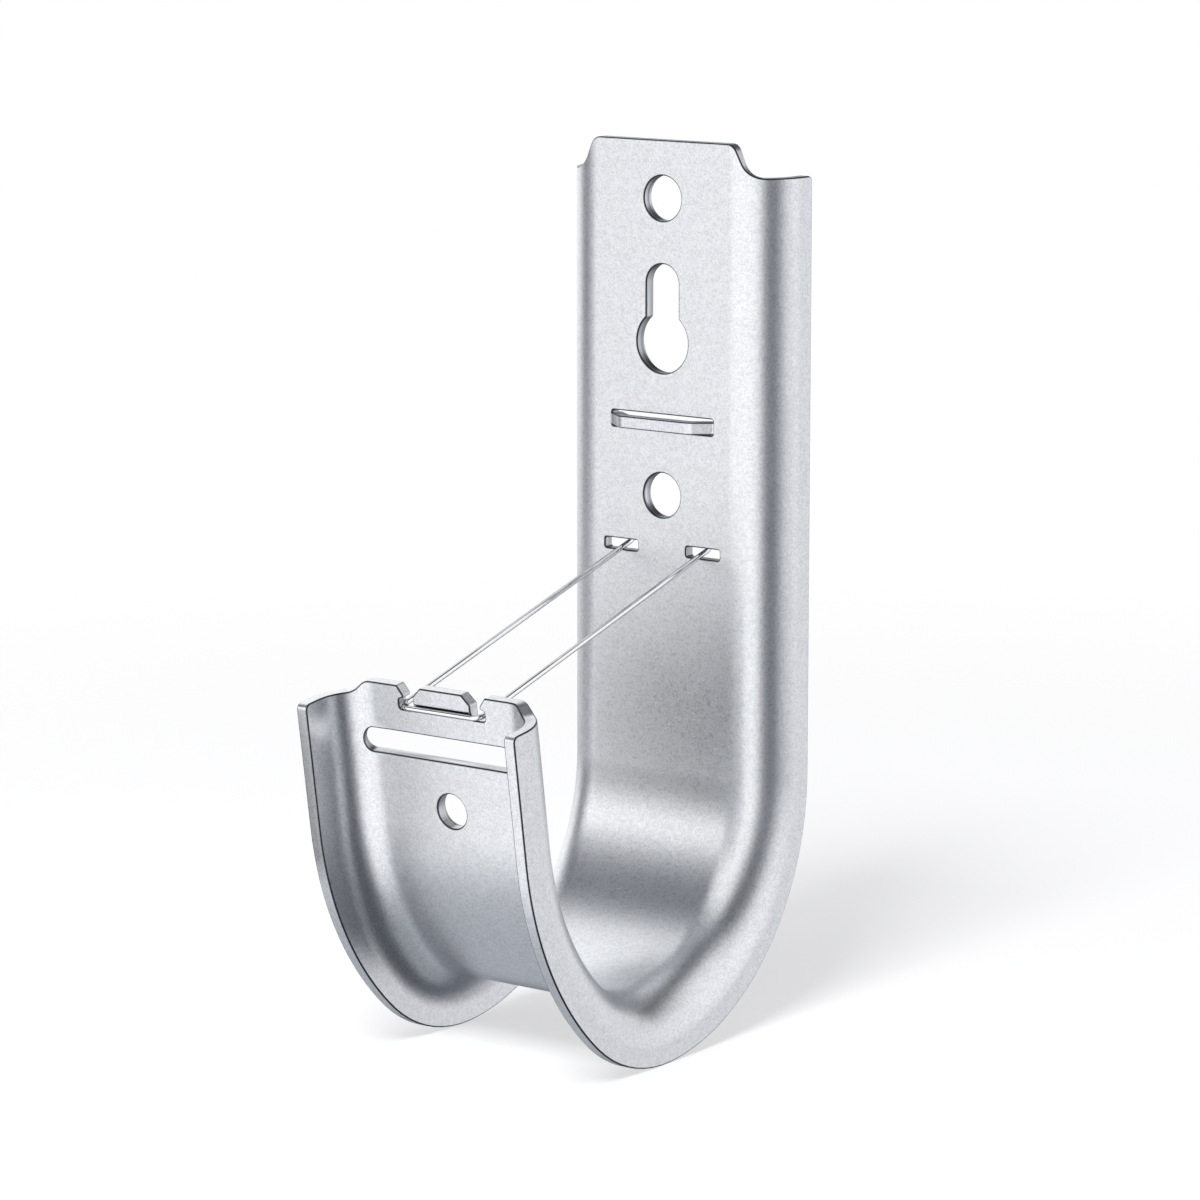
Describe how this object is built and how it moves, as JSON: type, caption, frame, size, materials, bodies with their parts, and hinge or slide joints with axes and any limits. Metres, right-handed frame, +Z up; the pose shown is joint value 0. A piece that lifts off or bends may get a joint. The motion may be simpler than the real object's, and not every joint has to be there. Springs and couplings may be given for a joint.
{
  "type": "j hook cable support",
  "caption": "Folded sheet-steel J hook with rolled side flanges, a punched mounting plate and a swinging spring-wire retainer that closes the cable loop.",
  "frame": {"origin": "midway between the two round mounting holes, at the back face of the plate", "axes": "+Z up the plate, -Y out of the plate over the cables towards the lip, X along the cables and across the hook's symmetry plane"},
  "size_m": [0.0418, 0.0755, 0.1392],
  "materials": {
    "hook_steel": "satin",
    "spring_wire": "polished"
  },
  "bodies": {
    "hook": {"j_hook": "hook_steel"},
    "retainer": {"cable_retainer": "spring_wire"}
  },
  "joints": [
    {"name": "retainer_swing", "type": "hinge", "parent": "hook", "child": "retainer", "pos_m": [0, -0.001, -0.02952], "axis": [-1, 0, 0], "range_deg": [0, 102]}
  ]
}
